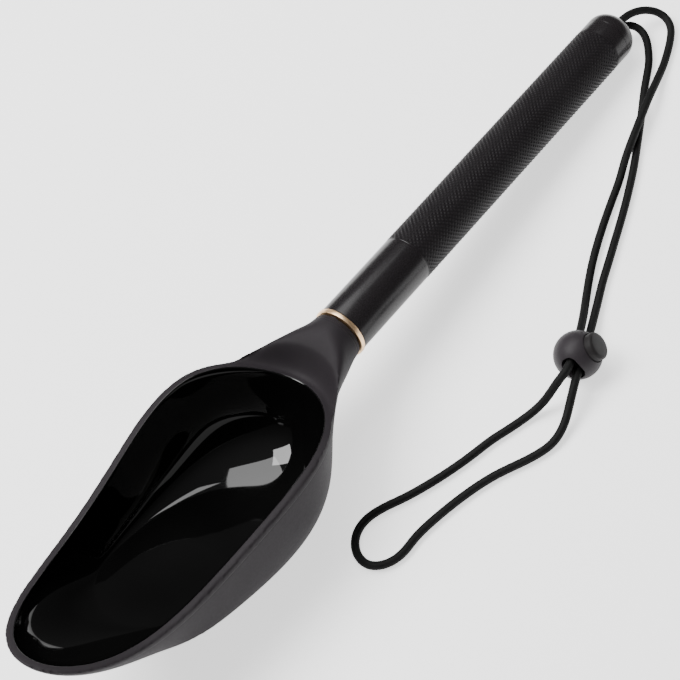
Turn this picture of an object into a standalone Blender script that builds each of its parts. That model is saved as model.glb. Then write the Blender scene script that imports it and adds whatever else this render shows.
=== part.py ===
"""Hand scoop with a screw-on moulded head, a knurled tubular grip and a wrist lanyard with a ball cord lock.

The scoop lies as it does on a table: on the heel of its bowl and the back of its handle. X runs towards the end
cap, Z is up, the floor is z = 0, and the origin is under the middle of head and handle. The pieces use the
handle's own axis: "a" runs along it from the collar ring, negative towards the bowl, "h" is sideways (+Y) and
"u" is up, square to the axis. The bowl is drawn level, with its flat bottom down, and then tilted to the axis.
"""

import math

import bmesh
import bpy
import numpy as np
from mathutils import Matrix, Vector

MM = 0.001
GAP = 0.3  # running gap between neighbouring pieces

# Handle axis: the collar ring's centre, and the slope down towards the end cap
RING_X, RING_Z = -10.73, 38.17
SLOPE = math.radians(-6.65)

# Bowl, drawn level, in mm from the ring's centre
TILT = math.radians(13.05)  # the handle's rise over the bowl's flat bottom
DROP = 58.0  # from the ring's centre down to the flat bottom
WALL = 3.9
RIM_MID, RIM_HALF, RIM_WIDTH = -109.8, 86.1, 39.6
BOTTOM_X, BOTTOM_L, BOTTOM_W = -124.5, 40.5, 34.3  # middle, half length and half width of the flat bottom
FLOOR_T = 3.4
AROUND, DOWN = 88, 16

# Neck and socket
SOCKET_END = -1.4
INSERT_BORE_R, INSERT_R, INSERT_LEN = 6.9, 6.6, 13.0
INSERT_BORE_END = -16.0

# Collar, stud and bush
COLLAR_R, COLLAR_HALF, COLLAR_BORE_R = 13.0, 1.1, 5.3
STUD_R, STUD_FRONT, STUD_BACK = 4.76, -13.5, 20.0
THREAD_BORE_R = 5.06
BUSH_FRONT, BUSH_BACK = 1.8, 22.0

# Grip tube
TUBE_R, TUBE_BORE_R = 12.5, 10.5
TUBE_FRONT, TUBE_BACK = 1.4, 216.0
KNURL_R, KNURL_FRONT, KNURL_BACK = 12.75, 50.5, 207.5
FIT_R = TUBE_BORE_R - GAP

# End cap
CAP_END, CAP_FILLET = 226.5, 8.0
SPIGOT_FRONT, CAVITY_END, CAVITY_R = 200.0, 217.0, 7.5
HOLE_HALF_U, HOLE_HALF_H = 5.3, 2.6
STOPPER_MID, STOPPER_HALF, STOPPER_R = 209.5, 3.2, 6.6

# Lanyard
CORD_R = 2.0
STRAND = 2.45  # half the distance between the strands in the cap
CORD_POINTS = 88

# Cord lock
LOCK_X, LOCK_Y, LOCK_Z = 53.8, -87.1, 11.15  # ball centre, from the ring in X and Y
BALL_R = 11.1
TUNNEL_HALF_W, TUNNEL_HALF_B = 5.7, 3.0
LOCK_STRAND = 2.9
PLUNGER_BORE_R, PLUNGER_BORE_END = 6.85, -7.4
PLUNGER_R, PLUNGER_FOOT, PLUNGER_TOP = 6.5, -4.4, 12.3
SLOT_HALF_W, SLOT_LOW, SLOT_HIGH = 5.3, -2.35, 4.7
SPRING_WIRE_R, SPRING_R_LOW, SPRING_R_HIGH = 0.3, 5.6, 3.2


def clear_scene():
    for obj in list(bpy.data.objects):
        bpy.data.objects.remove(obj, do_unlink=True)


def material(name, colour, rough, metal=0.0):
    mat = bpy.data.materials.new(name)
    mat.use_nodes = True
    node = mat.node_tree.nodes["Principled BSDF"]
    node.inputs["Base Color"].default_value = (*colour, 1.0)
    node.inputs["Roughness"].default_value = rough
    node.inputs["Metallic"].default_value = metal
    mat.diffuse_color = (*colour, 1.0)
    return mat


def axis_frame():
    """The handle's frame: x along its axis, y sideways, z up square to the axis."""
    c, s = math.cos(SLOPE), math.sin(SLOPE)
    turn = Matrix(((c, 0, -s), (0, 1, 0), (s, 0, c))).to_4x4()
    return Matrix.Translation((RING_X * MM, 0, RING_Z * MM)) @ turn


def to_axis(x, y, z):
    """From the level frame that the bowl is drawn in to the handle's frame, both in mm from the ring."""
    c, s = math.cos(TILT), math.sin(TILT)
    return np.array([x * c + z * s, y, -x * s + z * c])


def lock_axes():
    """Unit vectors of the cord lock: along its tunnel, across its two strands, and out along its button."""
    tunnel = Vector((-0.884, -0.362, 0.296)).normalized()
    button = Vector((0.467, -0.694, 0.547))
    button = (button - tunnel * button.dot(tunnel)).normalized()
    return tunnel, button.cross(tunnel), button


def lock_frame():
    tunnel, across, button = lock_axes()
    turn = Matrix((tunnel, across, button)).transposed().to_4x4()
    spot = Vector((RING_X + LOCK_X, LOCK_Y, LOCK_Z)) * MM
    return Matrix.Translation(spot) @ turn


def mesh_object(name, points, faces, frame, mat=None):
    """A closed mesh from points in mm, with its normals turned out."""
    mesh = bpy.data.meshes.new(name)
    mesh.from_pydata([tuple(float(v) * MM for v in p) for p in points], [], faces)
    bm = bmesh.new()
    bm.from_mesh(mesh)
    bmesh.ops.recalc_face_normals(bm, faces=bm.faces)
    if bm.calc_volume(signed=True) < 0:
        bmesh.ops.reverse_faces(bm, faces=bm.faces)
    bm.to_mesh(mesh)
    bm.free()
    obj = bpy.data.objects.new(name, mesh)
    obj.matrix_world = frame
    if mat:
        mesh.materials.append(mat)
    bpy.context.scene.collection.objects.link(obj)
    return obj


def loft(rings, close=False):
    """Points and faces of a skin over rings of equal count. The ends get fans, or join when close is set."""
    count = len(rings[0])
    points = [p for ring in rings for p in ring]
    faces = []
    pairs = len(rings) if close else len(rings) - 1
    for i in range(pairs):
        low, high = i * count, (i + 1) % len(rings) * count
        for j in range(count):
            k = (j + 1) % count
            faces.append((low + j, low + k, high + k, high + j))
    if not close:
        for ring, start in ((rings[0], 0), (rings[-1], (len(rings) - 1) * count)):
            points.append(np.mean(np.array(ring, float), axis=0))
            hub = len(points) - 1
            for j in range(count):
                faces.append((start + j, start + (j + 1) % count, hub))
    return points, faces


def circle(along, radius, sides):
    turns = [2 * math.pi * i / sides for i in range(sides)]
    return [(along, radius * math.cos(t), radius * math.sin(t)) for t in turns]


def turned(name, profile, frame, mat, sides=48, close=False):
    """A turned piece from (along, radius) pairs. A closed profile has a bore."""
    rings = [circle(a, r, sides) for a, r in profile]
    return mesh_object(name, *loft(rings, close), frame, mat)


def helper(obj):
    obj.hide_render = True
    obj.display_type = "WIRE"
    return obj


def boolean(obj, other, operation):
    mod = obj.modifiers.new(operation.title() + "_" + other.name, "BOOLEAN")
    mod.operation = operation
    mod.solver = "EXACT"
    mod.object = helper(other)


def rim_curve(t):
    """Inner rim of the bowl in the handle's frame, as (a, h, u) in mm."""
    c1, c2, c3, c4 = (np.cos(k * t) for k in (1, 2, 3, 4))
    along = RIM_MID + RIM_HALF * c1 - 6.9 * c2
    side = RIM_WIDTH * (1 - 0.04 * c1 + 0.05 * c2 - 0.09 * c3 - 0.026 * c4) * np.sin(t)
    up = 3.63 - 0.36 * c1 - 0.45 * c2 - 5.7 * c3 + 0.36 * c4
    return along, side, up


def level_rim(offset):
    """Rim points in the bowl's level frame (mm), moved out sideways by the offset."""
    t = np.linspace(0, 2 * math.pi, AROUND, endpoint=False)
    a, h, u = rim_curve(t)
    c, s = math.cos(TILT), math.sin(TILT)
    x, y, z = a * c - u * s, h, a * s + u * c
    dx, dy = np.roll(x, -1) - np.roll(x, 1), np.roll(y, -1) - np.roll(y, 1)
    length = np.hypot(dx, dy)
    return t, x + offset * dy / length, y - offset * dx / length, z


def bowl_rings(offset, inset, low):
    """Rings of a bowl skin from its flat bottom up to the rim, in the handle's frame."""
    t, x, y, z = level_rim(offset)
    power = 2.86 + 0.91 * np.cos(2 * t) + 1.8 * np.cos(t) - 0.5 * (0.5 - 0.5 * np.cos(t)) ** 4
    power = np.clip(power, 1.3, 6.0)
    fx = BOTTOM_X + (BOTTOM_L - inset) * np.cos(t)
    fy = (BOTTOM_W - inset) * np.sin(t)
    rings = []
    for i in range(DOWN + 1):
        turn = 0.5 * math.pi * i / DOWN
        out = math.sin(turn) ** (2 / power)
        lift = 1 - math.cos(turn) ** (2 / power) if i < DOWN else np.ones_like(t)
        rx, ry = fx + (x - fx) * out, fy + (y - fy) * out
        rz = low - DROP + (z - low + DROP) * lift
        rings.append(to_axis(rx, ry, rz).T)
    return rings


def heel_flat(ring):
    """Points under the floor lifted straight up to it, which leaves a small flat on the heel."""
    c, s = math.cos(SLOPE), math.sin(SLOPE)
    under = np.minimum(RING_Z + ring[:, 0] * s + ring[:, 2] * c, 0.0)
    ring[:, 0] -= under * s
    ring[:, 2] -= under * c
    return ring


def bowl_outside():
    rings = [heel_flat(ring) for ring in bowl_rings(WALL, 0.0, 0.0)]
    _, x, y, z = level_rim(WALL - 11.0)
    rings.append(to_axis(x, y, z).T)
    return loft(rings)


def bowl_cavity():
    rings = bowl_rings(0.0, 2.6, FLOOR_T)
    _, x, y, z = level_rim(0.0)
    rings.append(to_axis(x, y, z + 14.0).T)
    return loft(rings)


# Neck sections: place along the axis, half width of the web, its edges' top, its middle's top, the level where
# the flanks start, their half width and bottom, and how square the web's edges are
NECK = (
    (SOCKET_END, 12.2, 12.2, 12.2, 0.0, 12.2, -12.2, 2.0),
    (-5.0, 12.6, 12.4, 12.4, 0.0, 12.6, -12.7, 2.0),
    (-10.0, 13.9, 12.3, 11.9, 0.0, 13.8, -13.9, 2.3),
    (-14.0, 15.3, 11.9, 10.2, 0.3, 14.9, -15.5, 3.0),
    (-20.0, 17.8, 10.9, 6.4, 1.6, 16.4, -18.0, 3.8),
    (-26.0, 20.5, 9.8, 2.2, 3.0, 18.4, -20.5, 4.4),
    (-34.0, 24.8, 8.6, -1.8, 3.0, 21.4, -25.0, 4.8),
    (-42.0, 29.6, 7.8, -2.4, 2.6, 25.6, -29.5, 4.8),
    (-50.0, 34.6, 7.4, -1.5, 2.4, 29.5, -32.0, 5.0),
    (-58.0, 38.2, 7.9, 1.0, 2.4, 32.5, -33.0, 5.0),
    (-64.0, 39.6, 8.3, 3.0, 2.4, 34.0, -34.0, 5.0),
)


def neck_ring(section, sides):
    """One section of the neck: a dished web with rounded edges over flanks that draw in below it."""
    along, half, edge, middle, base, flank, bottom, square = section
    ring = []
    for i in range(sides):
        t = 2 * math.pi * i / sides
        c, s = math.cos(t), math.sin(t)
        if s > 0:
            h = half * math.copysign(abs(c) ** (2 / square), c)
            u = base + (edge - base) * s ** (2 / square) - (edge - middle) * (1 - (h / half) ** 2)
        else:
            h = (flank + (half - flank) * (1 + s) ** 3) * c
            u = base - (bottom - base) * s
        ring.append((along, h, u))
    return ring


def neck_solid():
    return loft([neck_ring(section, 56) for section in NECK])


def scoop_head(frame, mat):
    head = mesh_object("scoop_head", *bowl_outside(), frame, mat)
    boolean(head, mesh_object("cut_neck", *neck_solid(), frame), "UNION")
    boolean(head, mesh_object("cut_cavity", *bowl_cavity(), frame), "DIFFERENCE")
    front = SOCKET_END + 2.0
    bore = [(INSERT_BORE_END, INSERT_BORE_R), (front, INSERT_BORE_R)]
    boolean(head, turned("cut_insert", bore, frame, None), "DIFFERENCE")
    return head


def collar_pieces(frame, brass, steel):
    half, edge = COLLAR_HALF, 0.35
    ring = [
        (-half, COLLAR_BORE_R),
        (half, COLLAR_BORE_R),
        (half, COLLAR_R - edge),
        (half - edge, COLLAR_R),
        (edge - half, COLLAR_R),
        (-half, COLLAR_R - edge),
    ]
    turned("collar_ring", ring, frame, brass, 64, True)
    stud = [
        (STUD_FRONT, STUD_R - 0.8),
        (STUD_FRONT + 0.8, STUD_R),
        (STUD_BACK - 0.8, STUD_R),
        (STUD_BACK, STUD_R - 0.8),
    ]
    turned("threaded_stud", stud, frame, steel, 40)
    insert_end = SOCKET_END - 0.6
    insert = [
        (insert_end - INSERT_LEN, THREAD_BORE_R),
        (insert_end, THREAD_BORE_R),
        (insert_end, INSERT_R),
        (insert_end - 5.5, INSERT_R),
        (insert_end - 5.5, INSERT_R - 0.5),
        (insert_end - 7.5, INSERT_R - 0.5),
        (insert_end - 7.5, INSERT_R),
        (insert_end - INSERT_LEN, INSERT_R),
    ]
    turned("head_insert", insert, frame, brass, 40, True)


def grip_pieces(frame, anodised, alloy):
    tube = [
        (TUBE_FRONT, TUBE_BORE_R),
        (TUBE_BACK, TUBE_BORE_R),
        (TUBE_BACK, TUBE_R),
        (KNURL_BACK + 0.3, TUBE_R),
        (KNURL_BACK, KNURL_R),
        (KNURL_FRONT, KNURL_R),
        (KNURL_FRONT - 0.3, TUBE_R),
        (TUBE_FRONT + 0.4, TUBE_R),
        (TUBE_FRONT, TUBE_R - 0.4),
    ]
    turned("grip_tube", tube, frame, anodised, 72, True)
    bush = [
        (BUSH_FRONT, THREAD_BORE_R),
        (BUSH_BACK, THREAD_BORE_R),
        (BUSH_BACK, FIT_R - 0.5),
        (BUSH_BACK - 0.5, FIT_R),
        (BUSH_FRONT, FIT_R),
    ]
    turned("front_bush", bush, frame, alloy, 48, True)


def end_cap(frame, mat):
    shoulder = TUBE_BACK + GAP
    profile = [(SPIGOT_FRONT, FIT_R - 0.5), (SPIGOT_FRONT + 0.5, FIT_R), (shoulder, FIT_R)]
    profile.append((shoulder, TUBE_R))
    for i in range(9):
        t = 0.5 * math.pi * i / 8
        centre_a, centre_r = CAP_END - CAP_FILLET, TUBE_R - CAP_FILLET
        profile.append((centre_a + CAP_FILLET * math.sin(t), centre_r + CAP_FILLET * math.cos(t)))
    cap = turned("end_cap", profile, frame, mat, 64)
    cavity = [(SPIGOT_FRONT - 2.0, CAVITY_R), (CAVITY_END, CAVITY_R)]
    boolean(cap, turned("cut_cavity_cap", cavity, frame, None), "DIFFERENCE")
    rings = []
    for along in (CAVITY_END - 3.0, CAP_END + 3.0):
        ring = []
        for i in range(32):
            t = 2 * math.pi * i / 32
            c, s = math.cos(t), math.sin(t)
            rise = (HOLE_HALF_U - HOLE_HALF_H) * math.copysign(1.0, s) if abs(s) > 1e-9 else 0.0
            ring.append((along, HOLE_HALF_H * c, HOLE_HALF_H * s + rise))
        rings.append(ring)
    boolean(cap, mesh_object("cut_cord_hole", *loft(rings), frame), "DIFFERENCE")


def lanyard_stopper(frame, mat):
    profile = []
    for i in range(1, 12):
        t = math.pi * i / 12
        swell = abs(math.sin(t)) ** 0.6
        profile.append((STOPPER_MID - STOPPER_HALF * math.cos(t), STOPPER_R * swell))
    turned("lanyard_stopper", profile, frame, mat, 32)


# Lanyard route by hand, in mm from the collar ring (X, Y) and from the floor (Z).
# Upper strand: out of the cap, round, over the other strand and into the lock.
UPPER = (
    (233.6, -0.8, 13.4),
    (238.6, -2.6, 12.0),
    (243.2, -5.0, 9.6),
    (246.6, -8.6, 6.8),
    (247.4, -13.2, 4.4),
    (244.3, -18.2, 2.8),
    (237.2, -22.1, 2.2),
    (229.4, -25.2, 2.15),
    (222.2, -27.6, 2.2),
    (214.7, -29.7, 3.0),
    (206.5, -32.1, 4.8),
    (196.2, -34.9, 6.5),
    (184.2, -38.1, 6.9),
    (171.8, -41.2, 6.6),
    (161.4, -43.6, 4.8),
    (150.3, -47.0, 2.6),
    (139.3, -49.9, 2.15),
    (122.0, -55.0, 2.15),
    (105.7, -60.7, 2.15),
    (95.3, -65.2, 2.4),
    (84.5, -70.6, 3.8),
    (75.6, -75.4, 6.2),
    (68.2, -79.2, 8.8),
)
# Round the loose loop, out of the lock and back to it.
LOOP = (
    (36.2, -88.6, 15.2),
    (31.4, -86.8, 10.2),
    (26.6, -84.2, 5.0),
    (20.2, -81.2, 2.6),
    (11.2, -77.6, 2.15),
    (2.2, -73.8, 2.15),
    (-11.0, -69.8, 2.15),
    (-26.2, -64.0, 2.15),
    (-40.4, -57.2, 2.15),
    (-50.4, -51.2, 2.15),
    (-58.8, -48.0, 2.15),
    (-67.4, -48.8, 2.15),
    (-74.4, -54.6, 2.15),
    (-76.4, -62.4, 2.15),
    (-71.4, -69.2, 2.15),
    (-63.4, -72.2, 2.15),
    (-54.5, -72.3, 2.15),
    (-33.7, -77.0, 2.15),
    (-13.8, -84.3, 2.15),
    (4.7, -94.9, 2.15),
    (14.3, -98.6, 2.5),
    (24.0, -98.4, 4.4),
    (31.6, -96.4, 7.4),
)
# Lower strand: out of the lock and back along the floor to the cap.
LOWER = (
    (70.4, -82.2, 4.8),
    (78.4, -78.8, 3.2),
    (86.8, -75.4, 2.3),
    (97.0, -71.4, 2.15),
    (109.7, -67.2, 2.15),
    (121.8, -63.1, 2.15),
    (134.8, -58.7, 2.15),
    (147.9, -53.8, 2.15),
    (160.2, -48.8, 2.15),
    (175.6, -41.6, 2.15),
    (187.3, -36.0, 2.15),
    (197.9, -30.6, 2.15),
    (206.6, -26.4, 2.15),
    (213.5, -23.4, 2.15),
    (220.4, -20.2, 2.2),
    (226.0, -16.4, 2.6),
    (230.6, -12.8, 3.4),
    (234.0, -8.2, 5.0),
    (233.8, -3.0, 7.0),
    (230.8, -0.4, 8.8),
)


def axis_spot(a, u):
    """A spot on the handle's middle plane, as the lanyard route's own X, Y, Z."""
    c, s = math.cos(SLOPE), math.sin(SLOPE)
    return (a * c - u * s, 0.0, RING_Z + a * s + u * c)


def lock_spot(along, across):
    tunnel, side, _ = lock_axes()
    spot = Vector((LOCK_X, LOCK_Y, LOCK_Z)) + tunnel * along + side * across
    return tuple(spot)


def spline_through(route):
    """A fine line on a smooth curve through the route, by centripetal Catmull-Rom."""
    pts = [np.array(p, float) for p in route]
    pts = [2 * pts[0] - pts[1], *pts, 2 * pts[-1] - pts[-2]]
    fine = []
    for p0, p1, p2, p3 in zip(pts, pts[1:], pts[2:], pts[3:]):
        t1 = math.sqrt(np.linalg.norm(p1 - p0))
        t2 = t1 + math.sqrt(np.linalg.norm(p2 - p1))
        t3 = t2 + math.sqrt(np.linalg.norm(p3 - p2))
        for t in np.linspace(t1, t2, 16, endpoint=False):
            a1 = (t1 - t) / t1 * p0 + t / t1 * p1
            a2 = (t2 - t) / (t2 - t1) * p1 + (t - t1) / (t2 - t1) * p2
            a3 = (t3 - t) / (t3 - t2) * p2 + (t - t2) / (t3 - t2) * p3
            b1 = (t2 - t) / t2 * a1 + t / t2 * a2
            b2 = (t3 - t) / (t3 - t1) * a2 + (t - t1) / (t3 - t1) * a3
            fine.append((t2 - t) / (t2 - t1) * b1 + (t - t1) / (t2 - t1) * b2)
    fine.append(pts[-2])
    return np.array(fine)


def spread(line, weight, count):
    """Points along a line, at steps that shrink where the weight is high."""
    steps = np.linalg.norm(np.diff(line, axis=0), axis=1) * (weight[1:] + weight[:-1]) / 2
    run = np.concatenate([[0.0], np.cumsum(steps)])
    marks = np.linspace(0.0, run[-1], count)
    return np.stack([np.interp(marks, run, line[:, k]) for k in range(3)], 1)


def smooth_route(route, count):
    """The lanyard's centreline: a smooth curve, softened as a limp cord is, with more points in its bends."""
    line = spline_through(route)
    line = spread(line, np.ones(len(line)), 1400)
    for _ in range(60):
        line[1:-1] += 0.25 * (line[:-2] + line[2:] - 2 * line[1:-1])
    along = np.gradient(line, axis=0)
    step = np.linalg.norm(along, axis=1)
    bend = np.linalg.norm(np.gradient(along / step[:, None], axis=0), axis=1) / step
    return spread(line, 1 + 14 * bend, count)


def lanyard_cord(mat):
    start = STOPPER_MID + STOPPER_HALF + GAP + 0.2
    upper_in = [axis_spot(a, STRAND) for a in (start, 220.0, 227.0)]
    lower_in = [axis_spot(a, -STRAND) for a in (227.0, 220.0, start)]
    upper_lock = [lock_spot(a, -LOCK_STRAND) for a in (-9.0, 0.0, 9.0, 13.0)]
    lower_lock = [lock_spot(a, LOCK_STRAND) for a in (13.0, 9.0, 0.0, -9.0)]
    route = [*upper_in, *UPPER, *upper_lock, *LOOP, *lower_lock, *LOWER, *lower_in]
    points = smooth_route(route, CORD_POINTS)
    curve = bpy.data.curves.new("lanyard_cord", "CURVE")
    curve.dimensions = "3D"
    curve.bevel_depth = CORD_R * MM
    curve.bevel_resolution = 3
    curve.use_fill_caps = True
    spline = curve.splines.new("POLY")
    spline.points.add(len(points) - 1)
    for point, spot in zip(spline.points, points):
        point.co = ((spot[0] + RING_X) * MM, spot[1] * MM, spot[2] * MM, 1.0)
    curve.materials.append(mat)
    obj = bpy.data.objects.new("lanyard_cord", curve)
    bpy.context.scene.collection.objects.link(obj)
    return obj


def rounded_slot(name, half_w, low, high, reach, frame, corner, flare=0.0):
    """A rounded box along the lock's tunnel, as a cutter. A flare opens both of its ends."""
    rings = []
    mid, half_b = (low + high) / 2, (high - low) / 2
    for along, grow in ((-reach, flare), (2.4 - reach, 0.0), (reach - 2.4, 0.0), (reach, flare)):
        ring = []
        for i in range(40):
            t = 2 * math.pi * (i + 0.5) / 40
            c, s = math.cos(t), math.sin(t)
            w = (half_w - corner) * math.copysign(1.0, c) + (corner + grow) * c
            b = (half_b - corner) * math.copysign(1.0, s) + (corner + grow) * s
            ring.append((along, w, mid + b))
        rings.append(ring)
    return mesh_object(name, *loft(rings), frame)


def lock_circle(height, radius, sides):
    turns = [2 * math.pi * i / sides for i in range(sides)]
    return [(radius * math.cos(t), radius * math.sin(t), height) for t in turns]


def lock_body(frame, mat):
    rings = []
    for i in range(1, 24):
        t = math.pi * i / 24
        rings.append(lock_circle(-BALL_R * math.cos(t), BALL_R * math.sin(t), 48))
    ball = mesh_object("lock_body", *loft(rings), frame, mat)
    low, high = -TUNNEL_HALF_B, TUNNEL_HALF_B
    tunnel = rounded_slot("cut_tunnel", TUNNEL_HALF_W, low, high, 11.4, frame, 2.6, 2.2)
    boolean(ball, tunnel, "DIFFERENCE")
    bore = [lock_circle(PLUNGER_BORE_END, PLUNGER_BORE_R, 48), lock_circle(14.0, PLUNGER_BORE_R, 48)]
    boolean(ball, mesh_object("cut_plunger_bore", *loft(bore), frame), "DIFFERENCE")


def lock_plunger(frame, mat):
    profile = (
        (PLUNGER_FOOT, PLUNGER_R - 0.4),
        (PLUNGER_FOOT + 0.4, PLUNGER_R),
        (PLUNGER_TOP - 1.3, PLUNGER_R),
        (PLUNGER_TOP - 0.5, PLUNGER_R - 0.35),
        (PLUNGER_TOP, PLUNGER_R - 1.1),
    )
    rings = [lock_circle(height, radius, 48) for height, radius in profile]
    plunger = mesh_object("lock_plunger", *loft(rings), frame, mat)
    slot = rounded_slot("cut_slot", SLOT_HALF_W, SLOT_LOW, SLOT_HIGH, 9.0, frame, 1.2)
    boolean(plunger, slot, "DIFFERENCE")


def lock_spring(frame, mat):
    low = PLUNGER_BORE_END + 0.35 + SPRING_WIRE_R
    high = PLUNGER_FOOT - 0.35 - SPRING_WIRE_R
    turns, steps, sides = 2.25, 60, 8
    rings = []
    for i in range(steps + 1):
        part = i / steps
        t = 2 * math.pi * turns * part
        radius = SPRING_R_LOW + (SPRING_R_HIGH - SPRING_R_LOW) * part
        centre = Vector((radius * math.cos(t), radius * math.sin(t), low + (high - low) * part))
        out = Vector((math.cos(t), math.sin(t), 0.0))
        up = Vector((0.0, 0.0, 1.0))
        ring = []
        for j in range(sides):
            w = 2 * math.pi * j / sides
            ring.append(tuple(centre + (out * math.cos(w) + up * math.sin(w)) * SPRING_WIRE_R))
        rings.append(ring)
    mesh_object("lock_spring", *loft(rings), frame, mat)


def build():
    clear_scene()
    black = material("scoop_plastic", (0.02, 0.02, 0.022), 0.35)
    brass = material("brass", (0.80, 0.58, 0.30), 0.25, 1.0)
    steel = material("steel", (0.55, 0.56, 0.58), 0.3, 1.0)
    anodised = material("anodised_black", (0.012, 0.012, 0.013), 0.3, 0.6)
    alloy = material("alloy", (0.6, 0.6, 0.62), 0.35, 1.0)
    cord = material("cord_fabric", (0.015, 0.015, 0.015), 0.8)
    lock = material("lock_plastic", (0.02, 0.02, 0.02), 0.4)
    frame = axis_frame()
    scoop_head(frame, black)
    collar_pieces(frame, brass, steel)
    grip_pieces(frame, anodised, alloy)
    end_cap(frame, anodised)
    lanyard_stopper(frame, cord)
    lanyard_cord(cord)
    spot = lock_frame()
    lock_body(spot, lock)
    lock_plunger(spot, lock)
    lock_spring(spot, steel)


build()
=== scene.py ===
"""Hand scoop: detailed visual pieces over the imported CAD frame."""

import math

import bmesh
import bpy
import numpy as np
from mathutils import Matrix, Vector
from mathutils.bvhtree import BVHTree

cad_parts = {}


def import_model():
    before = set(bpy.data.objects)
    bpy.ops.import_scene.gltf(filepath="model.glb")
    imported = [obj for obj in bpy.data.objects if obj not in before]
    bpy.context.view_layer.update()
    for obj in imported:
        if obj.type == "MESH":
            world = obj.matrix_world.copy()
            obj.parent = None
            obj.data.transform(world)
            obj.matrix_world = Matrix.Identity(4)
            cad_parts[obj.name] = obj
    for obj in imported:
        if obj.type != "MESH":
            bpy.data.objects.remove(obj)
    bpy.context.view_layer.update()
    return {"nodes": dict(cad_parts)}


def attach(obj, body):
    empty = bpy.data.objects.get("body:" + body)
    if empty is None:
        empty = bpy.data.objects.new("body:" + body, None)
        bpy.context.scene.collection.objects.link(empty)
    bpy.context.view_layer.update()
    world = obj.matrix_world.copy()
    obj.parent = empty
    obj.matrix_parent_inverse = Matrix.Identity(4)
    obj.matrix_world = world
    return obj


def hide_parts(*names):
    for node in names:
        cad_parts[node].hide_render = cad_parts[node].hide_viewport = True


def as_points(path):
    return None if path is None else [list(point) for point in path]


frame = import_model()

# All lengths are in mm until a mesh is made. The row frame is the part's own frame. The handle's frame (a, h, u)
# starts at the brass ring, with a along the handle. The bowl is drawn in a level frame at the same origin.
MM = 0.001
RING_X, RING_Z = -10.73, 38.17
RING = np.array([RING_X, 0.0, RING_Z])
SLOPE, TILT = math.radians(-6.65), math.radians(13.05)
C, S = math.cos(SLOPE), math.sin(SLOPE)
CT, ST = math.cos(TILT), math.sin(TILT)


# ---------------------------------------------------------------- camera
def camera():
    """A long lens from above and in front, rolled a little, as in the photograph."""
    forward = Vector((0.3493, 0.4748, -0.8078)).normalized()
    up = Vector((0.7331, 0.3984, 0.5511))
    right = forward.cross(up).normalized()
    up = right.cross(forward)
    cam = bpy.data.cameras.new("camera")
    cam.lens, cam.sensor_width = 105.88, 36.0
    cam.clip_start, cam.clip_end = 0.05, 20.0
    obj = bpy.data.objects.new("camera", cam)
    turn = Matrix((right, up, -forward)).transposed().to_4x4()
    spot = Vector((RING_X - 312.9, -422.9, RING_Z + 715.5)) * MM
    obj.matrix_world = Matrix.Translation(spot) @ turn
    bpy.context.scene.collection.objects.link(obj)
    bpy.context.scene.camera = obj


camera()


# ---------------------------------------------------------------- node helpers
def new_material(name):
    """A material with its node tree and its Principled node."""
    mat = bpy.data.materials.new(name)
    mat.use_nodes = True
    tree = mat.node_tree
    return mat, tree, tree.nodes["Principled BSDF"]


def ramp(tree, source, stops):
    """A colour ramp over the source. Each stop is a place with a colour or a grey."""
    made = tree.nodes.new("ShaderNodeValToRGB")
    tree.links.new(source, made.inputs["Fac"])
    band = made.color_ramp
    while len(band.elements) < len(stops):
        band.elements.new(0.5)
    for element, (place, colour) in zip(band.elements, stops):
        element.position = place
        element.color = (*colour, 1.0) if isinstance(colour, tuple) else (colour, colour, colour, 1.0)
    return made.outputs["Color"]


def noise(tree, scale, detail=4.0, rough=0.55):
    """Noise over the object's own coordinates."""
    coords = tree.nodes.new("ShaderNodeTexCoord")
    made = tree.nodes.new("ShaderNodeTexNoise")
    made.inputs["Scale"].default_value = scale
    made.inputs["Detail"].default_value = detail
    made.inputs["Roughness"].default_value = rough
    tree.links.new(coords.outputs["Object"], made.inputs["Vector"])
    return made.outputs["Fac"]


def attribute(tree, name):
    """A mesh attribute as a number."""
    made = tree.nodes.new("ShaderNodeAttribute")
    made.attribute_name = name
    return made.outputs["Fac"]


def bump(tree, height, strength, distance=0.0001, over=None):
    """A bump from a height, over another bump if one is given."""
    made = tree.nodes.new("ShaderNodeBump")
    made.inputs["Strength"].default_value = strength
    made.inputs["Distance"].default_value = distance
    tree.links.new(height, made.inputs["Height"])
    if over is not None:
        tree.links.new(over, made.inputs["Normal"])
    return made.outputs["Normal"]


def wire(tree, bsdf, tint, shine, normal=None):
    """Colour, roughness and normal joined to the Principled node."""
    tree.links.new(tint, bsdf.inputs["Base Color"])
    tree.links.new(shine, bsdf.inputs["Roughness"])
    if normal is not None:
        tree.links.new(normal, bsdf.inputs["Normal"])


def speckled(name, colours, roughs, grain, lift, metal=0.0, scale=60.0, level=0.5):
    """A solid finish with slow colour drift, a fine grain in its roughness and a fine bump."""
    mat, tree, bsdf = new_material(name)
    slow = noise(tree, scale)
    fine = noise(tree, grain, 3.0, 0.6)
    tint = ramp(tree, slow, list(zip((0.3, 0.7), colours)))
    shine = ramp(tree, fine, list(zip((0.3, 0.7), roughs)))
    bsdf.inputs["Metallic"].default_value = metal
    bsdf.inputs["Specular IOR Level"].default_value = level
    wire(tree, bsdf, tint, shine, bump(tree, fine, lift))
    return mat


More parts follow.
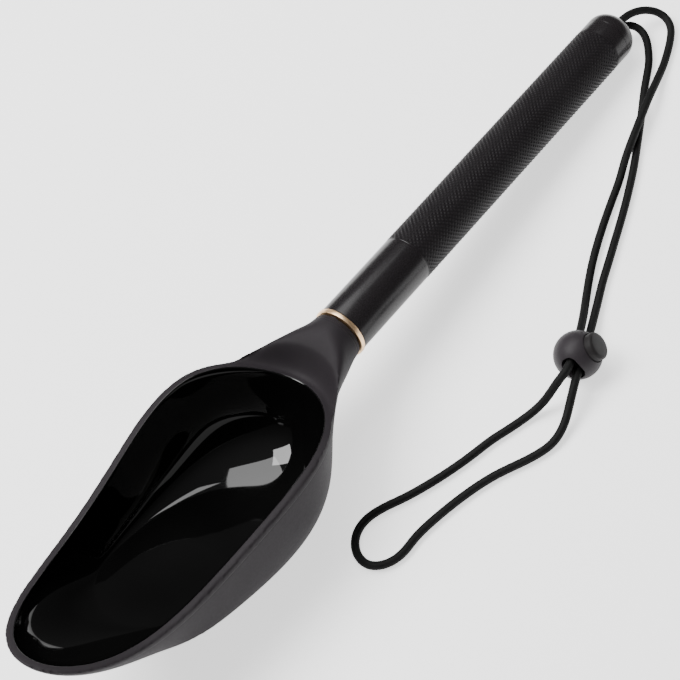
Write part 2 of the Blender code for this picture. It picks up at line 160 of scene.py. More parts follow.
# ---------------------------------------------------------------- mesh helpers
def mesh_object(name, points, faces, mats=(), smooth=30.0, face_mats=None):
    """A mesh in metres from row-frame points in mm."""
    mesh = bpy.data.meshes.new(name)
    mesh.from_pydata((np.asarray(points, float) * MM).tolist(), [], faces)
    bm = bmesh.new()
    bm.from_mesh(mesh)
    bmesh.ops.recalc_face_normals(bm, faces=bm.faces)
    if bm.calc_volume(signed=True) < 0:
        bmesh.ops.reverse_faces(bm, faces=bm.faces)
    bm.to_mesh(mesh)
    bm.free()
    for mat in mats:
        mesh.materials.append(mat)
    if face_mats is not None:
        mesh.polygons.foreach_set("material_index", face_mats)
    shade(mesh, smooth)
    obj = bpy.data.objects.new(name, mesh)
    bpy.context.scene.collection.objects.link(obj)
    return obj


def shade(mesh, angle):
    """Smooth shading, with edges sharper than the angle in degrees kept sharp."""
    mesh.polygons.foreach_set("use_smooth", [angle > 0] * len(mesh.polygons))
    if 0 < angle < 180:
        mesh.set_sharp_from_angle(angle=math.radians(angle))


def axis_to_row(points):
    """From the handle's frame (a, h, u) to the row frame, in mm."""
    a, h, u = np.asarray(points, float).T
    return np.stack([a * C - u * S, h, a * S + u * C], 1) + RING


def level_to_row(x, y, z):
    """From the level frame that the bowl is drawn in, in mm from the ring, to the row frame."""
    return axis_to_row(np.stack([x * CT + z * ST, y, -x * ST + z * CT], 1))


def row_to_level(points):
    """From the row frame to the level frame."""
    x, y, z = (np.asarray(points) - RING).T
    a, u = x * C + z * S, -x * S + z * C
    return np.stack([a * CT - u * ST, y, a * ST + u * CT], 1)


def along_handle(row):
    """Places along and above the handle's axis, of points in the row frame."""
    x, _, z = (row - RING).T
    return x * C + z * S, -x * S + z * C


def points_of(mesh):
    """The mesh's points in mm."""
    co = np.empty(len(mesh.vertices) * 3)
    mesh.vertices.foreach_get("co", co)
    return co.reshape(-1, 3) / MM


def loft(rings, close=False):
    """Points and faces through the rings, closed into a torus or capped with fans."""
    count = len(rings[0])
    points = [tuple(p) for ring in rings for p in ring]
    faces = []
    for i in range(len(rings) if close else len(rings) - 1):
        low, high = i * count, (i + 1) % len(rings) * count
        for j in range(count):
            k = (j + 1) % count
            faces.append((low + j, low + k, high + k, high + j))
    if not close:
        for ring, start in ((rings[0], 0), (rings[-1], (len(rings) - 1) * count)):
            points.append(tuple(np.mean(np.array(ring, float), axis=0)))
            hub = len(points) - 1
            for j in range(count):
                faces.append((start + j, start + (j + 1) % count, hub))
    return points, faces


def circle(along, radius, sides):
    """A ring round the handle's axis."""
    turns = [2 * math.pi * i / sides for i in range(sides)]
    return [(along, radius * math.cos(t), radius * math.sin(t)) for t in turns]


def turned(name, profile, mats, sides=128, close=True, smooth=30.0):
    """A piece turned round the handle's axis from (along, radius) pairs. A closed profile has a bore."""
    points, faces = loft([circle(a, r, sides) for a, r in profile], close)
    return mesh_object(name, axis_to_row(points), faces, mats, smooth)


def applied(obj):
    """The object with its modifiers made into its mesh."""
    bpy.context.view_layer.update()
    graph = bpy.context.evaluated_depsgraph_get()
    mesh = bpy.data.meshes.new_from_object(obj.evaluated_get(graph))
    old = obj.data
    obj.modifiers.clear()
    obj.data = mesh
    bpy.data.meshes.remove(old)
    return obj


def boolean(obj, other, operation):
    """The object joined with or cut by the other, which is used up."""
    mod = obj.modifiers.new("b", "BOOLEAN")
    mod.operation, mod.solver, mod.object = operation, "EXACT", other
    mod.material_mode = "TRANSFER"
    applied(obj)
    bpy.data.objects.remove(other, do_unlink=True)
    return obj


def rounded(radius, centre_a, centre_r, start, end, steps):
    """An arc in a turned profile, between two angles in degrees measured from the radial direction."""
    out = []
    for i in range(steps + 1):
        t = math.radians(start + (end - start) * i / steps)
        out.append((centre_a + radius * math.sin(t), centre_r + radius * math.cos(t)))
    return out


# ---------------------------------------------------------------- cord
# The cord's route, in mm. Upper strand: out of the cap, over the lower strand and up to the lock.
UPPER = (
    (233.6, -0.8, 13.4),
    (238.6, -2.6, 12.0),
    (243.2, -5.0, 9.6),
    (246.6, -8.6, 6.8),
    (247.4, -13.2, 4.4),
    (244.3, -18.2, 2.8),
    (237.2, -22.1, 2.2),
    (229.4, -25.2, 2.15),
    (222.2, -27.6, 2.2),
    (214.7, -29.7, 3.0),
    (206.5, -32.1, 4.8),
    (196.2, -34.9, 6.5),
    (184.2, -38.1, 6.9),
    (171.8, -41.2, 6.6),
    (161.4, -43.6, 4.8),
    (150.3, -47.0, 2.6),
    (139.3, -49.9, 2.15),
    (122.0, -55.0, 2.15),
    (105.7, -60.7, 2.15),
    (95.3, -65.2, 2.4),
    (84.5, -70.6, 3.8),
    (75.6, -75.4, 6.2),
    (68.2, -79.2, 8.8),
)
# Round the loose loop, out of the lock and back to it.
LOOP = (
    (36.2, -88.6, 15.2),
    (31.4, -86.8, 10.2),
    (26.6, -84.2, 5.0),
    (20.2, -81.2, 2.6),
    (11.2, -77.6, 2.15),
    (2.2, -73.8, 2.15),
    (-11.0, -69.8, 2.15),
    (-26.2, -64.0, 2.15),
    (-40.4, -57.2, 2.15),
    (-50.4, -51.2, 2.15),
    (-58.8, -48.0, 2.15),
    (-67.4, -48.8, 2.15),
    (-74.4, -54.6, 2.15),
    (-76.4, -62.4, 2.15),
    (-71.4, -69.2, 2.15),
    (-63.4, -72.2, 2.15),
    (-54.5, -72.3, 2.15),
    (-33.7, -77.0, 2.15),
    (-13.8, -84.3, 2.15),
    (4.7, -94.9, 2.15),
    (14.3, -98.6, 2.5),
    (24.0, -98.4, 4.4),
    (31.6, -96.4, 7.4),
)
# Lower strand: out of the lock and back along the floor to the cap.
LOWER = (
    (70.4, -82.2, 4.8),
    (78.4, -78.8, 3.2),
    (86.8, -75.4, 2.3),
    (97.0, -71.4, 2.15),
    (109.7, -67.2, 2.15),
    (121.8, -63.1, 2.15),
    (134.8, -58.7, 2.15),
    (147.9, -53.8, 2.15),
    (160.2, -48.8, 2.15),
    (175.6, -41.6, 2.15),
    (187.3, -36.0, 2.15),
    (197.9, -30.6, 2.15),
    (206.6, -26.4, 2.15),
    (213.5, -23.4, 2.15),
    (220.4, -20.2, 2.2),
    (226.0, -16.4, 2.6),
    (230.6, -12.8, 3.4),
    (234.0, -8.2, 5.0),
    (233.8, -3.0, 7.0),
    (230.8, -0.4, 8.8),
)
# The cord's radius, and how far each strand is from the middle of the cap's hole and of the lock's tunnel.
CORD_R, STRAND, LOCK_STRAND = 2.0, 2.45, 2.9
LOCK = (53.8, -87.1, 11.15)
CORD_START = 213.2


def lock_axes():
    """The lock's tunnel, the way across it and the way its button points."""
    tunnel = Vector((-0.884, -0.362, 0.296)).normalized()
    button = Vector((0.467, -0.694, 0.547))
    button = (button - tunnel * button.dot(tunnel)).normalized()
    return tunnel, button.cross(tunnel), button


TUNNEL, ACROSS, BUTTON = lock_axes()


def axis_spot(a, u):
    """A place near the handle's axis, in the cord's frame, which starts under the ring."""
    return (a * C - u * S, 0.0, RING_Z + a * S + u * C)


def lock_spot(along, across):
    """A place in the lock's tunnel, in the cord's frame."""
    return tuple(Vector(LOCK) + TUNNEL * along + ACROSS * across)


def spline_through(route):
    """A fine line on a smooth curve through the route."""
    pts = [np.array(p, float) for p in route]
    pts = [2 * pts[0] - pts[1], *pts, 2 * pts[-1] - pts[-2]]
    fine = []
    for p0, p1, p2, p3 in zip(pts, pts[1:], pts[2:], pts[3:]):
        t1 = math.sqrt(np.linalg.norm(p1 - p0))
        t2 = t1 + math.sqrt(np.linalg.norm(p2 - p1))
        t3 = t2 + math.sqrt(np.linalg.norm(p3 - p2))
        for t in np.linspace(t1, t2, 16, endpoint=False):
            a1 = (t1 - t) / t1 * p0 + t / t1 * p1
            a2 = (t2 - t) / (t2 - t1) * p1 + (t - t1) / (t2 - t1) * p2
            a3 = (t3 - t) / (t3 - t2) * p2 + (t - t2) / (t3 - t2) * p3
            b1 = (t2 - t) / t2 * a1 + t / t2 * a2
            b2 = (t3 - t) / (t3 - t1) * a2 + (t - t1) / (t3 - t1) * a3
            fine.append((t2 - t) / (t2 - t1) * b1 + (t - t1) / (t2 - t1) * b2)
    fine.append(pts[-2])
    return np.array(fine)


def evenly(line, count):
    """The line's length, and points at equal steps along it."""
    run = np.concatenate([[0.0], np.cumsum(np.linalg.norm(np.diff(line, axis=0), axis=1))])
    marks = np.linspace(0.0, run[-1], count)
    return np.stack([np.interp(marks, run, line[:, k]) for k in range(3)], 1), run[-1]


def cord_route(count):
    """Points at equal steps along the cord's centre line in the row frame, and its length."""
    in_cap, in_lock = (CORD_START, 220.0, 227.0), (-9.0, 0.0, 9.0, 13.0)
    upper = [*(axis_spot(a, STRAND) for a in in_cap), *UPPER]
    loop = [*(lock_spot(a, -LOCK_STRAND) for a in in_lock), *LOOP]
    loop += [lock_spot(a, LOCK_STRAND) for a in reversed(in_lock)]
    lower = [*LOWER, *(axis_spot(a, -STRAND) for a in reversed(in_cap))]
    line, _ = evenly(spline_through([*upper, *loop, *lower]), 1400)
    for _ in range(60):
        line[1:-1] += 0.25 * (line[:-2] + line[2:] - 2 * line[1:-1])
    points, length = evenly(line, count)
    return points + np.array([RING_X, 0.0, 0.0]), length


def cord_material():
    mat, tree, bsdf = new_material("cord_braid")
    fine = noise(tree, 1800.0, 3.0, 0.7)
    tint = ramp(tree, fine, [(0.3, 0.003), (0.75, 0.013)])
    shine = ramp(tree, fine, [(0.3, 0.55), (0.7, 0.8)])
    bsdf.inputs["Specular IOR Level"].default_value = 0.15
    wire(tree, bsdf, tint, shine, bump(tree, fine, 0.5))
    return mat


def braided_cord(mat):
    """A braided tube: two sets of strands wound opposite ways, each crossing over and under the other."""
    sides, rows = 32, 1440
    path, length = cord_route(rows)
    along = np.gradient(path, axis=0)
    along /= np.linalg.norm(along, axis=1)[:, None]
    normal = np.zeros_like(path)
    n = np.cross(along[0], (0.0, 1.0, 0.0))
    for i in range(rows):
        n = n - along[i] * (n @ along[i])
        n /= np.linalg.norm(n)
        normal[i] = n
    side = np.cross(along, normal)
    carriers, pitch, valley, ridge = 8, 7.6, 0.30, 0.34
    step = length / (rows - 1)
    points, faces = [], []
    turn = 2 * math.pi * np.arange(sides) / sides
    for i in range(rows):
        w = 2 * math.pi * i * step / pitch
        one = carriers * (turn + w) / 2
        two = carriers * (turn - w) / 2
        over = np.sin(one + two) * 0.5 + 0.5
        ridge_one, ridge_two = np.abs(np.cos(one)), np.abs(np.cos(two))
        height = np.maximum(ridge_one * (0.55 + 0.45 * over), ridge_two * (1.0 - 0.45 * over))
        radius = CORD_R - valley + ridge * height
        ring = path[i] + np.outer(radius * np.cos(turn), normal[i])
        ring += np.outer(radius * np.sin(turn), side[i])
        points.extend(ring.tolist())
    for i in range(rows - 1):
        for j in range(sides):
            k = (j + 1) % sides
            faces.append((i * sides + j, i * sides + k, (i + 1) * sides + k, (i + 1) * sides + j))
    for start, centre in ((0, path[0]), ((rows - 1) * sides, path[-1])):
        points.append(centre.tolist())
        for j in range(sides):
            faces.append((start + j, start + (j + 1) % sides, len(points) - 1))
    obj = mesh_object("lanyard_braid", points, faces, [mat], 180.0)
    guide, _ = cord_route(400)
    return obj, [tuple(p) for p in guide * MM], length * MM


braid, cord_path, cord_length = braided_cord(cord_material())
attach(braid, "handle")
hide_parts("lanyard_cord")


# ---------------------------------------------------------------- scoop head
WALL, DROP, BASE_T = 3.9, 58.0, 3.4
# The bowl's flat bottom, an oval in the level frame.
FOOT_MID, FOOT_HALF, FOOT_WIDE = -124.5, 40.5, 34.3
# How far the inside's own floor is drawn in from that oval, and how much softer its back is.
INSET, EASE = 12.0, 2.0
VOXEL = 0.0009


def rim_curve(t):
    """Inner rim of the bowl in the handle's frame, as (a, h, u) in mm."""
    c1, c2, c3, c4 = (np.cos(k * t) for k in (1, 2, 3, 4))
    along = -109.8 + 86.1 * c1 - 6.9 * c2
    side = 39.6 * (1 - 0.04 * c1 + 0.05 * c2 - 0.09 * c3 - 0.026 * c4) * np.sin(t)
    up = 3.63 - 0.36 * c1 - 0.45 * c2 - 5.7 * c3 + 0.36 * c4
    return along, side, up


def level_rim(offset, around):
    """Rim points in the bowl's level frame, in mm from the ring, moved out sideways by the offset."""
    t = np.linspace(0, 2 * math.pi, around, endpoint=False)
    a, y, u = rim_curve(t)
    x, z = a * CT - u * ST, a * ST + u * CT
    dx, dy = np.roll(x, -1) - np.roll(x, 1), np.roll(y, -1) - np.roll(y, 1)
    size = np.hypot(dx, dy)
    return t, x + offset * dy / size, y - offset * dx / size, z


def bowl_rings(offset, inset, low, around, down, ease=0.0):
    """Rings of a bowl skin from its flat bottom up to the rim, in the level frame.

    The power is how square the section is, from the bottom to the rim, all the way round.
    """
    t, x, y, z = level_rim(offset, around)
    power = 2.86 + 0.91 * np.cos(2 * t) + 1.8 * np.cos(t) - 0.5 * (0.5 - 0.5 * np.cos(t)) ** 4
    turned_by = np.where(t > math.pi, t - 2 * math.pi, t)
    power = np.clip(power - ease * np.exp(-((turned_by / 0.9) ** 2)), 1.3, 6.0)
    fx = FOOT_MID + (FOOT_HALF - inset) * np.cos(t)
    fy = (FOOT_WIDE - 0.75 * inset) * np.sin(t)
    rings = []
    for i in range(down + 1):
        turn = 0.5 * math.pi * i / down
        out = math.sin(turn) ** (2 / power)
        lift = 1 - math.cos(turn) ** (2 / power) if i < down else np.ones_like(t)
        rz = low - DROP + (z - low + DROP) * lift
        rings.append(np.stack([fx + (x - fx) * out, fy + (y - fy) * out, rz], 1))
    return rings


def rim_ring(offset, lift, around):
    """The rim moved out sideways and up, in the level frame."""
    _, x, y, z = level_rim(offset, around)
    return np.stack([x, y, z + lift], 1)


def tilted(rings):
    """Rings from the level frame in the row frame, with nothing under the floor."""
    out = []
    for ring in rings:
        ring = level_to_row(*ring.T)
        ring[:, 2] = np.maximum(ring[:, 2], 0.0)
        out.append(ring)
    return out


# Neck sections: place along the axis, half width of the web, its edges' top, its middle's top, the level
# where the flanks start, their half width and bottom, and how square the web's edges are.
NECK = (
    (-1.4, 12.2, 12.2, 12.2, 0.0, 12.2, -12.2, 2.0),
    (-5.0, 12.6, 12.4, 12.4, 0.0, 12.6, -12.7, 2.0),
    (-10.0, 13.9, 12.3, 11.9, 0.0, 13.8, -13.9, 2.3),
    (-14.0, 15.3, 11.9, 10.2, 0.3, 14.9, -15.5, 3.0),
    (-20.0, 17.8, 10.9, 6.4, 1.6, 16.4, -18.0, 3.8),
    (-26.0, 20.5, 9.8, 2.2, 3.0, 18.4, -20.5, 4.4),
    (-34.0, 24.8, 8.6, -1.8, 3.0, 21.4, -25.0, 4.8),
    (-42.0, 29.6, 7.8, -2.4, 2.6, 25.6, -29.5, 4.8),
    (-50.0, 34.6, 7.4, -1.5, 2.4, 29.5, -32.0, 5.0),
    (-58.0, 38.2, 7.9, 1.0, 2.4, 32.5, -33.0, 5.0),
    (-64.0, 39.6, 8.3, 3.0, 2.4, 34.0, -34.0, 5.0),
)


def neck_ring(section, sides):
    """One section of the neck: a dished web with rounded edges over flanks that draw in below it."""
    along, half, edge, middle, base, flank, bottom, square = section
    ring = []
    for i in range(sides):
        t = 2 * math.pi * i / sides
        c, s = math.cos(t), math.sin(t)
        if s > 0:
            h = half * math.copysign(abs(c) ** (2 / square), c)
            u = base + (edge - base) * s ** (2 / square) - (edge - middle) * (1 - (h / half) ** 2)
        else:
            h = (flank + (half - flank) * (1 + s) ** 3) * c
            u = base - (bottom - base) * s
        ring.append((along, h, u))
    return ring


def neck_section(along):
    """One section of the neck at any place, smoothly between the ones in the table."""
    table = np.array(NECK)[::-1]
    x, values = table[:, 0], table[:, 1:]
    slopes = np.gradient(values, x, axis=0)
    i = int(np.clip(np.searchsorted(x, along) - 1, 0, len(x) - 2))
    h = x[i + 1] - x[i]
    s = (along - x[i]) / h
    cubic = (2 * s**3 - 3 * s**2 + 1) * values[i] + (s**3 - 2 * s**2 + s) * h * slopes[i]
    cubic += (3 * s**2 - 2 * s**3) * values[i + 1] + (s**3 - s**2) * h * slopes[i + 1]
    cubic[6] = max(cubic[6], 2.0)
    return (along, *cubic)


def neck_rings():
    places = np.linspace(NECK[-1][0], NECK[0][0], 64)
    return [axis_to_row(neck_ring(neck_section(along), 120)) for along in places]


def relax(mesh, weight, steps):
    """Laplacian smoothing of a mesh, each point by its own weight."""
    count = len(mesh.vertices)
    co = np.empty(count * 3)
    mesh.vertices.foreach_get("co", co)
    co = co.reshape(-1, 3)
    ends = np.empty(len(mesh.edges) * 2, np.int32)
    mesh.edges.foreach_get("vertices", ends)
    a, b = ends.reshape(-1, 2).T
    degree = np.bincount(a, minlength=count) + np.bincount(b, minlength=count)
    for _ in range(steps):
        total = np.stack(
            [np.bincount(a, co[b, k], count) + np.bincount(b, co[a, k], count) for k in range(3)], 1
        )
        co += (total / degree[:, None] - co) * weight[:, None]
    mesh.vertices.foreach_set("co", co.ravel())
    mesh.update()


def smoothstep(x, low, high):
    """0 below low and 1 above high, with a soft step between."""
    s = np.clip((x - low) / (high - low), 0.0, 1.0)
    return s * s * (3 - 2 * s)


def outside_material():
    """Satin moulded plastic, with the step line under the rim and the groove round the socket as bumps."""
    mat, tree, bsdf = new_material("scoop_satin")
    grain = noise(tree, 900.0, 3.0, 0.6)
    slow = noise(tree, 35.0, 3.0, 0.5)
    tint = ramp(tree, slow, [(0.3, (0.0175, 0.0148, 0.0172)), (0.7, (0.0210, 0.0180, 0.0205))])
    shine = ramp(tree, grain, [(0.3, 0.54), (0.7, 0.62)])
    bsdf.inputs["IOR"].default_value = 1.45
    bsdf.inputs["Specular IOR Level"].default_value = 0.14
    steps = [(0.0, 1.0), (0.40, 1.0), (0.46, 0.2), (0.52, 0.35), (1.0, 0.35)]
    line = bump(tree, ramp(tree, attribute(tree, "rim_drop"), steps), 1.0, 0.0006)
    steps = [(0.0, 1.0), (0.355, 1.0), (0.38, 0.3), (0.40, 0.3), (0.425, 1.0), (1.0, 1.0)]
    ring = bump(tree, ramp(tree, attribute(tree, "socket"), steps), 0.8, 0.0003, line)
    wire(tree, bsdf, tint, shine, bump(tree, grain, 0.12, over=ring))
    return mat


def inside_material():
    """The same plastic, polished."""
    mat, tree, bsdf = new_material("scoop_gloss")
    slow = noise(tree, 30.0, 2.0, 0.5)
    tint = ramp(tree, slow, [(0.3, 0.0015), (0.7, 0.0025)])
    shine = ramp(tree, slow, [(0.3, 0.03), (0.7, 0.045)])
    bsdf.inputs["IOR"].default_value = 1.5
    wire(tree, bsdf, tint, shine)
    return mat


def outer_skin(around):
    """The bowl's outside with a rounded outer edge to its rim."""
    rings = bowl_rings(WALL, 0.0, 0.0, around, 56)[:-1]
    edge = ((0.0, -0.9), (0.07, -0.55), (0.27, -0.27), (0.55, -0.07), (0.9, 0.0))
    rings += [rim_ring(WALL - inward, lift, around) for inward, lift in edge]
    rings.append(rim_ring(-7.0, 0.0, around))
    return loft(tilted(rings))


def blend_shapes(mesh, shapes):
    """Each point put back on the shape it came from, and smoothed where the two shapes meet."""
    trees = [BVHTree.FromPolygons((np.asarray(p, float) * MM).tolist(), f) for p, f in shapes]
    count = len(mesh.vertices)
    near, snap = np.empty((2, count)), np.empty((2, count, 3))
    relax(mesh, np.full(count, 0.5), 2)
    for k, tree in enumerate(trees):
        for i, vertex in enumerate(mesh.vertices):
            spot, _, _, gap = tree.find_nearest(vertex.co)
            snap[k, i], near[k, i] = spot, gap / MM
    which = near.argmin(0)
    other = near.max(0)
    co = np.where((which == 0)[:, None], snap[0], snap[1])
    mesh.vertices.foreach_set("co", co.ravel())
    along, up = along_handle(co / MM)
    inside = smoothstep(along, -70.0, -62.0) * (1 - smoothstep(along, -16.0, -8.0))
    seam = (1 - smoothstep(other, 1.5, 9.0)) * inside
    under = 1 - smoothstep(up, -3.0, 3.0)
    relax(mesh, 0.6 * seam * under, 90)
    seam = (1 - smoothstep(other, 0.8, 4.0)) * inside
    relax(mesh, 0.6 * seam * (1 - under), 10)
    relax(mesh, 0.3 * inside, 2)
    edge = smoothstep(points_of(mesh)[:, 2], 0, 1) * (other > 4) * (1 - inside)
    relax(mesh, 0.35 * edge, 3)


def seat_web(mesh):
    """The web drawn level with the rim where it meets the opening."""
    row = points_of(mesh)
    level = row_to_level(row)
    normal = np.empty(len(row) * 3)
    mesh.vertex_normals.foreach_get("vector", normal)
    normal = normal.reshape(-1, 3)
    rise = row_to_level(normal + RING)[:, 2]
    along, _ = along_handle(row)
    zone = smoothstep(along, -70.0, -60.0) * smoothstep(rise, 0.35, 0.7)
    rim = rim_ring(0.0, 0.0, 720)
    for i in np.nonzero((zone > 0) & (along < -16.0))[0]:
        gap = ((level[i, :2] - rim[:, :2]) ** 2).sum(1)
        near = gap.argmin()
        weight = zone[i] * (1 - smoothstep(math.sqrt(gap[near]), 2.0, 10.0))
        level[i, 2] += weight * (rim[near, 2] - level[i, 2])
    mesh.vertices.foreach_set("co", (level_to_row(*level.T) * MM).ravel())
    mesh.update()


def scoop_head(satin, gloss):
    """The bowl and the neck blended into one shell, with the glossy inside cut out of it."""
    around = 256
    skin = outer_skin(around)
    shape = loft(neck_rings())
    body = mesh_object("scoop_shell", *skin, [satin])
    boolean(body, mesh_object("neck", *shape, [satin]), "UNION")
    mod = body.modifiers.new("v", "REMESH")
    mod.mode, mod.voxel_size, mod.use_smooth_shade = "VOXEL", VOXEL, True
    applied(body)
    blend_shapes(body.data, (skin, shape))
    seat_web(body.data)
    cavity = bowl_rings(0.0, INSET, BASE_T, around, 64, EASE)
    cavity[-1] = rim_ring(0.0, -0.7, around)
    for flare, lift in ((0.08, -0.35), (0.3, -0.1), (0.75, 0.08), (1.6, 0.6), (1.6, 14.0)):
        cavity.append(rim_ring(flare, lift, around))
    centre = np.mean(cavity[0], axis=0)
    sunk = []
    for part in (0.08, 0.25, 0.45, 0.65, 0.85):
        ring = centre + (cavity[0] - centre) * part
        ring[:, 2] -= 0.9 * (1 - part * part) ** 2
        sunk.append(ring)
    cavity = [level_to_row(*ring.T) for ring in [*sunk, *cavity]]
    boolean(body, mesh_object("cavity", *loft(cavity), [gloss]), "DIFFERENCE")
    shade(body.data, 32.0)
    mark_rim(body)
    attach(body, "head")
    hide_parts("scoop_head")


def mark_rim(body):
    """Each point's drop below the rim's outer edge over 8 mm, and its place along the socket over 10 mm."""
    mesh = body.data
    row = points_of(mesh)
    co = row_to_level(row)
    rim = rim_ring(WALL, 0.0, 720)
    drop = np.empty(len(co))
    for start in range(0, len(co), 4000):
        part = co[start : start + 4000]
        flat = ((part[:, None, :2] - rim[None, :, :2]) ** 2).sum(2)
        near = flat.argmin(1)
        drop[start : start + 4000] = rim[near, 2] - part[:, 2]
    along, _ = along_handle(row)
    for name, value in (("rim_drop", drop / 8.0), ("socket", -along / 10.0)):
        layer = mesh.attributes.new(name, "FLOAT", "POINT")
        layer.data.foreach_set("value", np.clip(value, 0.0, 1.0).astype(np.float32))


scoop_head(outside_material(), inside_material())


# ---------------------------------------------------------------- collar and handle
brass_mat = speckled("collar_brass", ((0.95, 0.63, 0.36), (0.98, 0.71, 0.43)), (0.32, 0.40), 2500.0, 0.1, 1.0)
steel_mat = speckled("bright_steel", ((0.5, 0.5, 0.52), (0.6, 0.6, 0.62)), (0.25, 0.35), 2500.0, 0.1, 1.0)
alloy_mat = speckled("machined_alloy", ((0.55, 0.55, 0.57), (0.65, 0.65, 0.67)), (0.3, 0.4), 2500.0, 0.1, 1.0)
tube_mat = speckled(
    "anodised", ((0.011, 0.0095, 0.0105), (0.015, 0.0130, 0.0140)), (0.24, 0.30), 3000.0, 0.05,
    scale=40.0, level=0.26,
)
knurl_mat = speckled(
    "anodised_knurl", ((0.010, 0.0086, 0.0096), (0.013, 0.0114, 0.0125)), (0.34, 0.42), 3000.0, 0.05,
    scale=40.0, level=0.1,
)
lock_mat = speckled(
    "lock_satin", ((0.024, 0.0205, 0.0235), (0.030, 0.026, 0.0295)), (0.44, 0.52), 1500.0, 0.15, level=0.16
)
button_mat = speckled(
    "button_satin", ((0.017, 0.0155, 0.016), (0.022, 0.0205, 0.021)), (0.46, 0.56), 1500.0, 0.2, level=0.12
)
GRIP_R = 12.5


def collar():
    half, out, edge = 1.1, 13.0, 0.4
    profile = [(-half, 5.3), (half, 5.3)]
    turns = np.linspace(0, math.pi / 2, 6)
    profile += [(half - edge + edge * math.cos(t), out - edge + edge * math.sin(t)) for t in turns]
    profile += [(edge - half - edge * math.sin(t), out - edge + edge * math.cos(t)) for t in turns]
    obj = turned("collar_band", profile, [brass_mat])
    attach(obj, "collar")
    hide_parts("collar_ring")


def grip():
    """The tube, with diamonds cut in its grip as real facets."""
    sides, rows, out = 204, 408, GRIP_R
    start, end = 50.2, 207.6
    pitch, crest, deep = 6, 0.22, 0.38
    rings = []

    def plain(along, radius):
        rings.append(circle(along, radius, sides))

    plain(1.4, 10.5)
    for a, r in [(1.4, 11.9), (1.5, 12.2), (1.75, 12.42), (2.1, out), (20.0, out), (49.0, out)]:
        plain(a, r)
    plain(49.4, out - 0.05)
    plain(50.0, out - 0.12)
    knurled = range(len(rings), len(rings) + rows + 2)
    for i in range(rows + 1):
        along = start + (end - start) * i / rows
        fade = min(1.0, i / 2.0, (rows - i) / 2.0)
        ring = []
        for j in range(sides):
            turn = 2 * math.pi * j / sides
            phases = ((i + j) % pitch, (i - j) % pitch)
            high = min(min(phase, pitch - phase) for phase in phases) / (pitch / 2)
            radius = out + crest - deep * (1 - high) * fade - 0.2 * (1 - fade)
            ring.append((along, radius * math.cos(turn), radius * math.sin(turn)))
        rings.append(ring)
    plain(207.8, out - 0.12)
    plain(208.2, out - 0.05)
    plain(208.6, out)
    for a, r in [(215.9, out), (216.0, out - 0.06), (216.0, 10.5)]:
        plain(a, r)
    points, faces = loft(rings, True)
    mats = [int(index // sides in knurled) for index in range(len(faces))]
    obj = mesh_object("grip_sleeve", axis_to_row(points), faces, [tube_mat, knurl_mat], 24.0, mats)
    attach(obj, "handle")
    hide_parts("grip_tube")


def end_cap():
    shoulder, end, fillet = 216.12, 226.5, 8.0
    profile = [(200.0, 9.7), (200.5, 10.2), (shoulder, 10.2), (shoulder, 12.44), (shoulder + 0.1, GRIP_R)]
    profile += rounded(fillet, end - fillet, GRIP_R - fillet, 0, 90, 20)
    profile += [(end, 2.0)]
    cap = turned("end_plug", profile, [tube_mat], 128, False, 180.0)
    boolean(cap, turned("c", [(198.0, 7.5), (217.0, 7.5)], [tube_mat], 64, False), "DIFFERENCE")
    rings = []
    for along, grow in ((214.0, 0.0), (225.7, 0.0), (226.1, 0.15), (226.5, 0.6), (230.0, 4.0)):
        ring = []
        for i in range(64):
            t = 2 * math.pi * i / 64
            c, s = math.cos(t), math.sin(t)
            rise = 2.7 * math.copysign(1.0, s) if abs(s) > 1e-9 else 0.0
            ring.append((along, (2.6 + grow) * c, (2.6 + grow) * s + rise))
        rings.append(axis_to_row(ring))
    boolean(cap, mesh_object("c", *loft(rings), [tube_mat]), "DIFFERENCE")
    shade(cap.data, 30.0)
    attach(cap, "handle")
    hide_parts("end_cap")


collar()
grip()
end_cap()


# ---------------------------------------------------------------- cord lock
def lock_to_row(points):
    """From the lock's frame (along the tunnel, across it, towards the button) to the row frame."""
    base = np.array([LOCK[0] + RING_X, LOCK[1], LOCK[2]])
    axes = np.array([TUNNEL, ACROSS, BUTTON])
    return base + np.asarray(points, float) @ axes


def lock_ring(height, radius, sides=96):
    """A ring round the button's axis."""
    turns = [2 * math.pi * i / sides for i in range(sides)]
    return [(radius * math.cos(t), radius * math.sin(t), height) for t in turns]


def slot_cutter(half_w, low, high, corner, stops, mat):
    """A rounded slot along the tunnel. Each stop is a place along it and how much wider the slot is there."""
    mid, half_b = (low + high) / 2, (high - low) / 2
    rings = []
    for along, grow in stops:
        ring = []
        for i in range(64):
            t = 2 * math.pi * (i + 0.5) / 64
            c, s = math.cos(t), math.sin(t)
            r = corner + grow
            w = (half_w - corner) * math.copysign(1.0, c) + r * c
            b = (half_b - corner) * math.copysign(1.0, s) + r * s
            ring.append((along, w, mid + b))
        rings.append(ring)
    points, faces = loft(rings)
    return mesh_object("c", lock_to_row(points), faces, [mat])


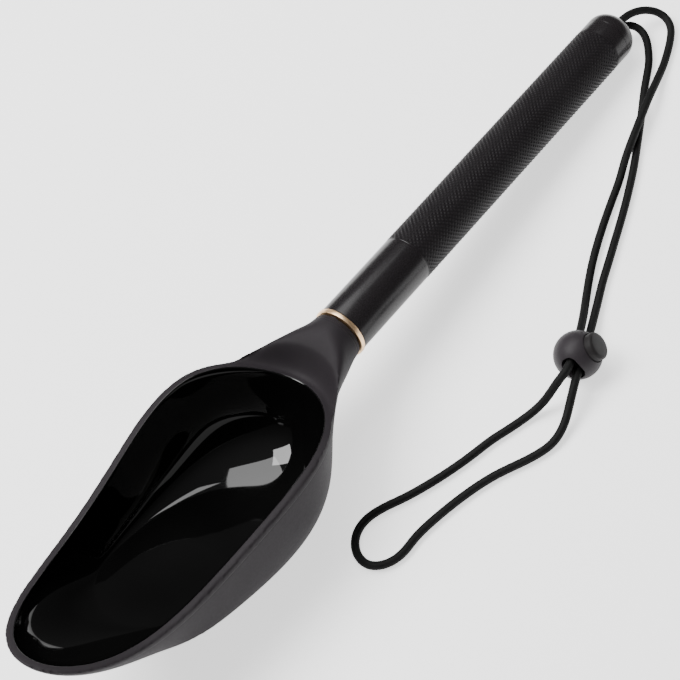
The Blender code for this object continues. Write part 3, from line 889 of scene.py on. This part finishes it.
def lock_body():
    out = 11.1
    turns = np.linspace(0.02, math.pi - 0.02, 72)
    points, faces = loft([lock_ring(-out * math.cos(t), out * math.sin(t)) for t in turns])
    ball = mesh_object("lock_ball", lock_to_row(points), faces, [lock_mat], 180.0)
    stops = ((-15, 5.0), (-11.4, 2.0), (-10.4, 1.2), (-9.6, 0.6), (-8.8, 0.15), (-8.2, 0.0))
    stops += tuple((-along, grow) for along, grow in reversed(stops))
    boolean(ball, slot_cutter(5.7, -3.0, 3.0, 2.6, stops, lock_mat), "DIFFERENCE")
    bore = ((-7.4, 6.85), (8.3, 6.85), (8.7, 7.0), (9.1, 7.4), (14.0, 9.5))
    points, faces = loft([lock_ring(height, radius) for height, radius in bore])
    boolean(ball, mesh_object("c", lock_to_row(points), faces, [lock_mat]), "DIFFERENCE")
    shade(ball.data, 30.0)
    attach(ball, "cord_lock")
    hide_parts("lock_body")
    return ball


def lock_button():
    profile = ((-4.4, 6.1), (-4.0, 6.5), (10.8, 6.5), (11.3, 6.4), (11.7, 6.15))
    profile += ((12.0, 5.8), (12.2, 5.4), (12.3, 5.0), (12.3, 2.0))
    points, faces = loft([lock_ring(height, radius) for height, radius in profile])
    button = mesh_object("lock_button", lock_to_row(points), faces, [button_mat], 180.0)
    stops = ((-9, 0.0), (9, 0.0))
    boolean(button, slot_cutter(5.3, -2.35, 4.7, 1.2, stops, button_mat), "DIFFERENCE")
    shade(button.data, 28.0)
    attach(button, "lock_button")
    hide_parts("lock_plunger")
    return button


lock_ball, lock_button = lock_body(), lock_button()
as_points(cord_path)

# The hidden pieces keep their CAD shapes.
for name, mat in (
    ("threaded_stud", steel_mat), ("front_bush", alloy_mat), ("head_insert", brass_mat),
    ("lanyard_stopper", cord_material()), ("lock_spring", steel_mat),
):
    for spot in frame["nodes"][name].material_slots:
        spot.material = mat


# ---------------------------------------------------------------- floor and light
def floor():
    mat, tree, bsdf = new_material("floor_white")
    slow = noise(tree, 3.0, 2.0, 0.5)
    tint = ramp(tree, slow, [(0.3, 0.90), (0.7, 0.92)])
    tree.links.new(tint, bsdf.inputs["Base Color"])
    bsdf.inputs["Roughness"].default_value = 0.9
    bsdf.inputs["Specular IOR Level"].default_value = 0.0
    bsdf.inputs["Emission Color"].default_value = (1.0, 1.0, 1.0, 1.0)
    bsdf.inputs["Emission Strength"].default_value = 1.35
    mesh = bpy.data.meshes.new("floor")
    level = -0.0004
    corners = [(-3, -3, level), (5, -3, level), (5, 5, level), (-3, 5, level)]
    mesh.from_pydata(corners, [], [(0, 1, 2, 3)])
    mesh.materials.append(mat)
    obj = bpy.data.objects.new("floor", mesh)
    bpy.context.scene.collection.objects.link(obj)


def softbox(name, azimuth, height, away, wide, tall, radiance):
    """A soft rectangle of light in a given direction from the middle of the scoop."""
    a, e = math.radians(azimuth), math.radians(height)
    spot = Vector((math.cos(a) * math.cos(e), math.sin(a) * math.cos(e), math.sin(e))) * away
    light = bpy.data.lights.new(name, "AREA")
    light.energy = radiance * math.pi * wide * tall
    light.shape, light.size, light.size_y = "RECTANGLE", wide, tall
    obj = bpy.data.objects.new(name, light)
    obj.location = spot
    obj.rotation_euler = (Vector((0.0, 0.0, 0.03)) - spot).to_track_quat("-Z", "Y").to_euler()
    bpy.context.scene.collection.objects.link(obj)


def world():
    """A dim surround, brighter overhead."""
    made = bpy.data.worlds.new("studio")
    bpy.context.scene.world = made
    made.use_nodes = True
    tree = made.node_tree
    back = tree.nodes["Background"]
    coords = tree.nodes.new("ShaderNodeTexCoord")
    split = tree.nodes.new("ShaderNodeSeparateXYZ")
    tree.links.new(coords.outputs["Generated"], split.inputs["Vector"])
    shade_up = ramp(tree, split.outputs["Z"], [(0.0, 0.10), (0.3, 0.05), (0.6, 0.10), (1.0, 0.22)])
    tree.links.new(shade_up, back.inputs["Color"])
    back.inputs["Strength"].default_value = 1.0


floor()
world()
softbox("key", 56.0, 66.0, 1.4, 0.78, 1.00, 5.5)
softbox("left", 126.0, 60.0, 1.4, 0.80, 0.80, 13.0)
softbox("side", 17.0, 53.0, 1.4, 0.16, 0.26, 5.0)
